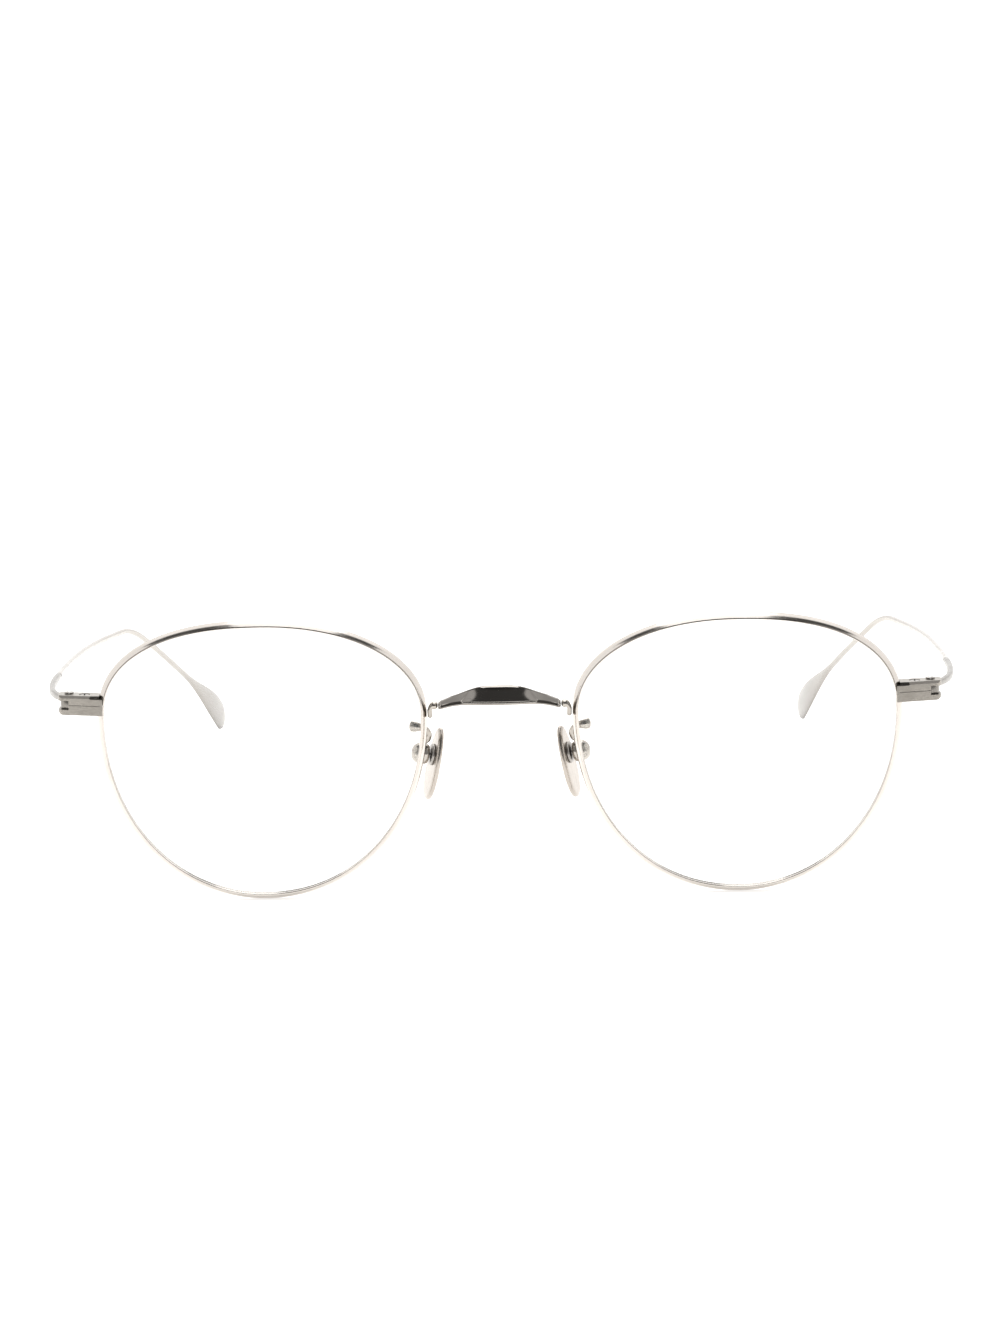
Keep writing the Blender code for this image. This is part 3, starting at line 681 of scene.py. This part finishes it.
def build_block(side_name, side, which, low, high):
    """One half of the closing block, with its share of the hinge slot and of the two screw holes."""
    base = skin([[Vector((x, y, z)) for x, y in block_outline(z)] for z in (low, high)])
    reach = EYE_RADIUS + 0.12
    turns = [math.radians(a) for a in range(190, 271, 5)]
    outline = [(PIN_X + reach * math.cos(t), PIN_Y + reach * math.sin(t)) for t in turns]
    outline += [(PIN_X, BLOCK_FRONT - 0.5), (BLOCK_END + 1, BLOCK_FRONT - 0.5), (BLOCK_END + 1, PIN_Y + 3.0)]
    outline += [(PIN_X - 4.0, PIN_Y + 3.0), (PIN_X - 3.1, PIN_Y - 0.12)]
    slot = prism(outline, BLOCK_Z - SLOT_HALF, BLOCK_Z + SLOT_HALF)
    pin = turned([(0, -3), (PIN_HOLE, -3), (PIN_HOLE, 3), (0, 3)], Vector((PIN_X, PIN_Y, BLOCK_Z)), UP, 48)
    lock = [(0, -1.0), (PIN_HOLE, -1.0), (PIN_HOLE, BLOCK_HALF - 0.42), (0.82, BLOCK_HALF - 0.42)]
    lock += [(0.82, BLOCK_HALF + 1), (0, BLOCK_HALF + 1)]
    hole = turned(lock, Vector((LOCK_X, LOCK_Y, BLOCK_Z)), UP, 48)
    cutters = [slot, pin, hole]
    if which == "upper":
        cutters += [top_chamfer(*CHAMFER), top_chamfer(*RIM_SIDE_FACET)]
    else:
        cutters.append(bottom_corner(CORNER_RADIUS))
    shape = carved(base, cutters, 0.06)
    for face in shape.faces:
        if which == "upper" and 0.2 < face.normal.z < 0.8 and face.normal.y < -0.5:
            face.material_index = 1
    node = [f"endpiece_{which}_{side_name}"]
    name = f"closing_block_{which}_{side_name}"
    block = piece(name, shape, side, "front", SATIN, node, sharp=8.0)
    block.data.materials.append(FACET)


def build_screw(name, node, size, tip, x, y, side):
    """A slotted screw head with a shallow dome, and its shank."""
    head, low, high = size
    profile = [(0.0, tip), (0.30, tip), (0.40, tip + 0.12), (0.40, low), (head, low), (head, high - 0.1)]
    dome = [(head * s, high - 0.1 + 0.1 * math.sqrt(1 - s**4)) for s in (0.97, 0.9, 0.75, 0.5, 0.25)]
    body = turned(rounded(profile, 0.05) + dome + [(0.0, high)], Vector((x, y, BLOCK_Z)), UP, 56)
    half, top = 0.11, BLOCK_Z + high
    outline = [(x - half, y - 2), (x + half, y - 2), (x + half, y + 2), (x - half, y + 2)]
    shape = carved(body, [prism(outline, top - 0.16, top + 1)], 0.0)
    piece(name, shape, side, "front", SCREW_STEEL_AND_STEM_SHADE, [node], sharp=30.0)


def build_washer(name, node, low, side):
    """A thin ring round the pin, between the temple's eye and the block."""
    profile = [(0.47, low), (1.2, low), (1.2, low + 0.09), (0.47, low + 0.09), (0.47, low)]
    shape = turned(profile, Vector((PIN_X, PIN_Y, BLOCK_Z)), UP)
    piece(name, shape, side, "front", POLYMER, [node])


# ---- temples ----


def temple_height(y):
    """The wire falls gently to the ear, bends down on an arc and runs on straight."""
    slope = math.tan(TEMPLE_SLOPE)
    start = BLOCK_Z - (EAR_START - PIN_Y) * slope
    arc_run = EAR_RADIUS * (math.sin(EAR_DROP) - math.sin(TEMPLE_SLOPE))
    if y < EAR_START:
        return BLOCK_Z - max(0.0, y - PIN_Y - 3) * slope * (EAR_START - PIN_Y) / (EAR_START - PIN_Y - 3)
    if y < EAR_START + arc_run:
        angle = math.asin((y - EAR_START) / EAR_RADIUS + math.sin(TEMPLE_SLOPE))
        return start - EAR_RADIUS * (math.cos(TEMPLE_SLOPE) - math.cos(angle))
    arc_end = start - EAR_RADIUS * (math.cos(TEMPLE_SLOPE) - math.cos(EAR_DROP))
    return arc_end - (y - EAR_START - arc_run) * math.tan(EAR_DROP)


BAR_PLAN = [(4.8, 63.35), (7.0, 63.9), (9.5, 64.8), (12.5, 65.75), (17.0, 66.7), (24.0, 67.35)]
BAR_PLAN += [(31.0, 67.6), (BAR_END, 67.6)]
SHAFT_PLAN = [(BAR_END, 67.6), (48, 67.5), (60, 67.1), (72, 66.4), (84, 65.0), (93, 63.4), (100, 61.9)]
SHAFT_PLAN += [(106, 60.0), (112, 57.6), (119, 54.9), (126, 52.4), (133, 50.3), (140.3, 48.7)]


def plan_path(plan, steps):
    """A smooth path through (backward, outward) places, at the temple's own height."""
    flat = smooth_path([Vector((out, back, 0.0)) for back, out in plan], steps)
    return [Vector((p.x, p.y, temple_height(p.y))) for p in flat]


def build_temple_hinge(side_name, side):
    """The eye on the pin and the thicker bar that carries the wire, in one piece."""
    path = plan_path(BAR_PLAN, 8)
    count = len(path)
    high = [0.94 + 0.16 * min(1.0, max(0.0, (p.y - 7.5) / 6)) for p in path]
    wide = [0.95] * count
    for k in range(4):
        ending = math.sqrt(1 - ((k + 0.3) / 4.3) ** 2) if k else 0.96
        high[count - 4 + k] *= max(0.82, ending)
        wide[count - 4 + k] *= max(0.82, ending)
    bar = tube(path, wide, high, power=3.0, sides=28)
    centre = Vector((PIN_X, PIN_Y, BLOCK_Z))
    disc = [(0, -EYE_HALF), (EYE_RADIUS, -EYE_HALF), (EYE_RADIUS, EYE_HALF), (0, EYE_HALF)]
    eye = turned(disc, centre, UP, 72)
    hole = turned([(0, -3), (PIN_HOLE, -3), (PIN_HOLE, 3), (0, 3)], centre, UP, 40)
    shape = carved(eye, [hole], 0.05, joined=[bar])
    node = ["temple_hinge_" + side_name]
    body = "temple_" + side_name
    piece("temple_eye_bar_" + side_name, shape, side, body, HINGE_METAL, node)


def paddle_share(y):
    """How far the wire has spread into the paddle: 0 along the wire, 1 where it is widest."""
    return ease((y - 121.5) / 15.5)


def build_temple_shaft(side_name, side):
    """The long wire, pressed flat into a paddle at its end."""
    path = plan_path(SHAFT_PLAN, 24)
    path[0] = path[0] + Vector((0, 0.06, 0))
    tip = path[-1].y
    round_from = tip - 2.8
    high, wide = [], []
    for point in path:
        spread = paddle_share(point.y)
        rise = WIRE + (PADDLE_WIDTH - WIRE) * spread
        end = max(0.0, (point.y - round_from) / (tip - round_from))
        rounding = math.sqrt(max(0.0, 1 - (end * 0.995) ** 2))
        high.append(rise * rounding)
        wide.append((WIRE + (PADDLE_THICK - WIRE) * spread) * (0.35 + 0.65 * rounding))
    shape = tube(path, wide, high, power=2.3, sides=32)
    node = ["temple_shaft_" + side_name]
    body = "temple_" + side_name
    piece("temple_wire_" + side_name, shape, side, body, WIRE_METAL, node)


# ---- nose pads ----


def build_pad_arm(side_name, side):
    """The curled wire from its flattened foot behind the rim to the cup."""
    corners = [(13.35, 4.05, 25.35), (12.6, 3.8, 25.3), (11.6, 3.75, 25.15), (10.8, 4.1, 24.7)]
    corners += [(10.5, 4.8, 23.85), (10.75, 5.5, 23.0), (11.35, 5.9, 22.6)]
    path = smooth_path([Vector(c) for c in corners], 14)
    count = len(path)
    deep = [(0.93 - 0.12 * i / (count - 1)) * end_taper(i, count, 8, 0.1) for i in range(count)]
    tall = [d * (1 + 0.75 * (1 - ease((i - 12) / 24))) for i, d in enumerate(deep)]
    shape = tube(path, tall, deep, level=Vector((0, 1, 0)), sides=24)
    node = ["pad_arm_" + side_name]
    piece("pad_arm_wire_" + side_name, shape, side, "front", SMALL_METAL, node)


def build_pad_cup(side_name, side):
    """The boss that holds the stud's ball."""
    mouth = CUP_MOUTH
    outside = [(0.98, 1.0), (0.98, mouth), (1.35, mouth), (1.58, mouth + 0.35), (1.62, mouth + 1.1)]
    outside += [(1.48, mouth + 1.75), (1.05, mouth + 2.25), (0.5, mouth + 2.46), (0.0, mouth + 2.5)]
    profile = [(0.0, 1.0)] + rounded(outside, 0.3, 4)
    node = ["pad_cup_" + side_name]
    shape = turned(profile, BALL, PAD_OUT, 56)
    piece("pad_box_" + side_name, shape, side, "front", SMALL_METAL, node)


def build_pad_stud(side_name, side):
    """Ball, neck and round plate."""
    plate = CUP_MOUTH - ROCK_GAP
    ball = [(0.84 * math.sin(t), 0.84 * math.cos(t)) for t in (math.radians(a) for a in range(0, 148, 12))]
    ball[0] = (0.0, 0.84)
    base = [(0.45, -0.72), (0.45, plate), (1.45, plate), (1.6, plate - 0.2), (1.6, plate - STUD_PLATE)]
    profile = rounded(ball + base + [(0.0, plate - STUD_PLATE)], 0.06, 3)
    node = ["pad_stud_" + side_name]
    body = "nose_pad_" + side_name
    shape = turned(profile, BALL, PAD_OUT, 48)
    # The stem wears the darker turned steel as painted shade: it stands for the dark reflection on its plate.
    piece("pad_stem_" + side_name, shape, side, body, SCREW_STEEL_AND_STEM_SHADE, node)


def build_nose_pad(side_name, side):
    """A smooth metal pad: egg-shaped, with a rolled edge, flat where it meets the nose."""
    face = CUP_MOUTH - ROCK_GAP - STUD_PLATE - 0.04
    steps = 96
    layers = []
    for k in range(17):
        turn = math.pi * k / 16
        share = 0.80 + 0.2 * math.sin(turn) ** 0.8 if k <= 8 else 0.72 + 0.28 * math.sin(turn) ** 0.8
        layers.append((PAD_THICK * (0.5 - 0.5 * math.cos(turn)), share))
    rings = []
    for deep, share in layers:
        ring = []
        for i in range(steps):
            turn = 2 * math.pi * i / steps
            up = PAD_HEIGHT / 2 * math.sin(turn) * (1 - (1 - share) * 0.55) - PAD_DROP
            wide = PAD_WIDTH / 2 * (1 - 0.16 * math.sin(turn)) * math.cos(turn) * share
            ring.append(BALL + PAD_OUT * (face - deep) + PAD_BACK * wide + PAD_UP * up)
        rings.append(ring)
    node = ["nose_pad_" + side_name]
    body = "nose_pad_" + side_name
    piece("nose_pad_metal_" + side_name, skin(rings), side, body, PAD_METAL, node)


build_bridge()
for side_name, side in SIDES.items():
    build_rim(side_name, side)
    build_lens(side_name, side)
    build_lug(side_name, side)
    build_block(side_name, side, "upper", BLOCK_Z + SEAM, BLOCK_Z + BLOCK_HALF)
    build_block(side_name, side, "lower", BLOCK_Z - BLOCK_HALF, BLOCK_Z - SEAM)
    names = ("pivot_screw_" + side_name, "hinge_screw_" + side_name)
    build_screw(*names, HINGE_HEAD, -1.4, PIN_X, PIN_Y, side)
    names = ("rim_screw_" + side_name, "rim_lock_screw_" + side_name)
    build_screw(*names, LOCK_HEAD, -0.95, LOCK_X, LOCK_Y, side)
    build_washer("washer_top_" + side_name, "hinge_washer_upper_" + side_name, EYE_HALF + 0.025, side)
    build_washer("washer_bottom_" + side_name, "hinge_washer_lower_" + side_name, -EYE_HALF - 0.115, side)
    build_temple_hinge(side_name, side)
    build_temple_shaft(side_name, side)
    build_pad_arm(side_name, side)
    build_pad_cup(side_name, side)
    build_pad_stud(side_name, side)
    build_nose_pad(side_name, side)


# ---- floor, light and camera ----


def build_floor():
    g = Graph("pale_glowing_floor")
    grain = g.noise(60.0, 4.0, 0.6)
    tint = g.blend(g.ramp(grain, 0.0, 1.0), (0.70, 0.695, 0.685), (0.73, 0.725, 0.715))
    g.join(tint, g.shader, "Base Color")
    g.join(g.ramp(grain, 0.75, 0.9), g.shader, "Roughness")
    g.shader.inputs["Specular IOR Level"].default_value = 0.1
    # The floor glows as well: painted light that lifts the shadows the glasses cast on it to white.
    g.shader.inputs["Emission Color"].default_value = (1.0, 0.99, 0.98, 1.0)
    g.shader.inputs["Emission Strength"].default_value = 0.62
    mesh = bpy.data.meshes.new("floor")
    mesh.from_pydata([(-9, -0.27, 0), (9, -0.27, 0), (9, 9, 0), (-9, 9, 0)], [], [(0, 1, 2, 3)])
    mesh.materials.append(g.material)
    floor = bpy.data.objects.new("floor", mesh)
    bpy.context.scene.collection.objects.link(floor)


def area_light(name, place, target, width, height, power, colour=(1, 1, 1)):
    light = bpy.data.lights.new(name, "AREA")
    light.shape = "RECTANGLE"
    light.size, light.size_y = width, height
    light.energy = power
    light.color = colour
    lamp = bpy.data.objects.new(name, light)
    lamp.location = place
    lamp.rotation_euler = (Vector(target) - Vector(place)).to_track_quat("-Z", "Y").to_euler()
    bpy.context.scene.collection.objects.link(lamp)
    return lamp


def build_world():
    """A white studio. In front of the glasses and above the table there is a dark opening with grey round
    it; the shown backdrop is plain white."""
    world = bpy.data.worlds.new("studio")
    bpy.context.scene.world = world
    world.use_nodes = True
    nodes, links = world.node_tree.nodes, world.node_tree.links
    back = nodes["Background"]
    place = nodes.new("ShaderNodeTexCoord")
    split = nodes.new("ShaderNodeSeparateXYZ")
    links.new(place.outputs["Generated"], split.inputs[0])

    def remap(source, low, high, first, second):
        made = nodes.new("ShaderNodeMapRange")
        made.interpolation_type = "SMOOTHSTEP"
        made.inputs["From Min"].default_value = low
        made.inputs["From Max"].default_value = high
        made.inputs["To Min"].default_value = first
        made.inputs["To Max"].default_value = second
        links.new(source, made.inputs["Value"])
        return made.outputs["Result"]

    def join(operation, first, second):
        made = nodes.new("ShaderNodeMath")
        made.operation = operation
        for socket, value in zip(made.inputs, (first, second)):
            if isinstance(value, (int, float)):
                socket.default_value = value
            else:
                links.new(value, socket)
        return made.outputs["Value"]

    # Grey walls in front below a steep angle, and a dark ceiling over the front half between white sides
    across = join("ABSOLUTE", split.outputs["X"], 0.0)
    ahead, rise = split.outputs["Y"], split.outputs["Z"]
    facing = remap(ahead, -0.5, -0.2, 1.0, 0.0)
    grey_side = join("MULTIPLY", facing, remap(rise, 0.70, 0.85, 1.0, 0.0))
    grey_level = remap(across, 0.3, 0.6, 0.50, 0.38)
    white = remap(across, 0.25, 0.65, 1.45, 1.32)
    ceiling = join("MULTIPLY", remap(across, 0.595, 0.635, 1.0, 0.0), remap(rise, 0.45, 0.6, 0.0, 0.93))
    ceiling = join("MULTIPLY", ceiling, remap(ahead, 0.28, 0.42, 1.0, 0.0))
    white = join("MULTIPLY", white, join("SUBTRACT", 1.0, ceiling))
    bright = join("MULTIPLY", white, join("SUBTRACT", 1.0, grey_side))
    level = join("ADD", join("MULTIPLY", grey_side, grey_level), bright)
    # The dark opening straight ahead
    opening = join("MULTIPLY", remap(across, 0.31, 0.34, 1.0, 0.0), remap(ahead, -0.5, -0.35, 1.0, 0.0))
    level = join("MULTIPLY", level, join("SUBTRACT", 1.0, join("MULTIPLY", opening, 0.9)))
    # The backdrop that the camera sees
    seen = nodes.new("ShaderNodeLightPath").outputs["Is Camera Ray"]
    level = join("MAXIMUM", level, join("MULTIPLY", seen, 1.15))
    links.new(level, back.inputs["Strength"])
    back.inputs["Color"].default_value = (1.0, 0.992, 0.982, 1.0)


def build_camera():
    distance, pitch, yaw, roll = 0.9, math.radians(11.1), math.radians(-0.80), math.radians(-1.144)
    aim = Vector((0.000214, FRONT_Y * MM, 0.02127))
    ahead = Vector((math.sin(yaw) * math.cos(pitch), math.cos(yaw) * math.cos(pitch), -math.sin(pitch)))
    tilt = pitch - math.radians(0.839)
    look = Vector((math.sin(yaw) * math.cos(tilt), math.cos(yaw) * math.cos(tilt), -math.sin(tilt)))
    camera = bpy.data.cameras.new("camera")
    camera.sensor_fit = "AUTO"
    camera.sensor_width = 36.0
    camera.lens = 165.9
    camera.clip_start, camera.clip_end = 0.01, 60.0
    holder = bpy.data.objects.new("camera", camera)
    turn = look.to_track_quat("-Z", "Y").to_matrix().to_4x4() @ Matrix.Rotation(roll, 4, "Z")
    holder.matrix_world = Matrix.Translation(aim - ahead * distance) @ turn
    bpy.context.scene.collection.objects.link(holder)
    bpy.context.scene.camera = holder


build_floor()
build_world()
softbox = area_light("softbox_top", (0.0, 0.25, 1.9), (0, 0.1, 0), 1.3, 1.3, 26.0)
softbox.visible_glossy = False
area_light("strip_light", (0.0, 0.06, 0.32), (0, 0.06, 0), 0.16, 0.62, 0.517)
build_camera()
bpy.context.scene.view_settings.view_transform = "Standard"
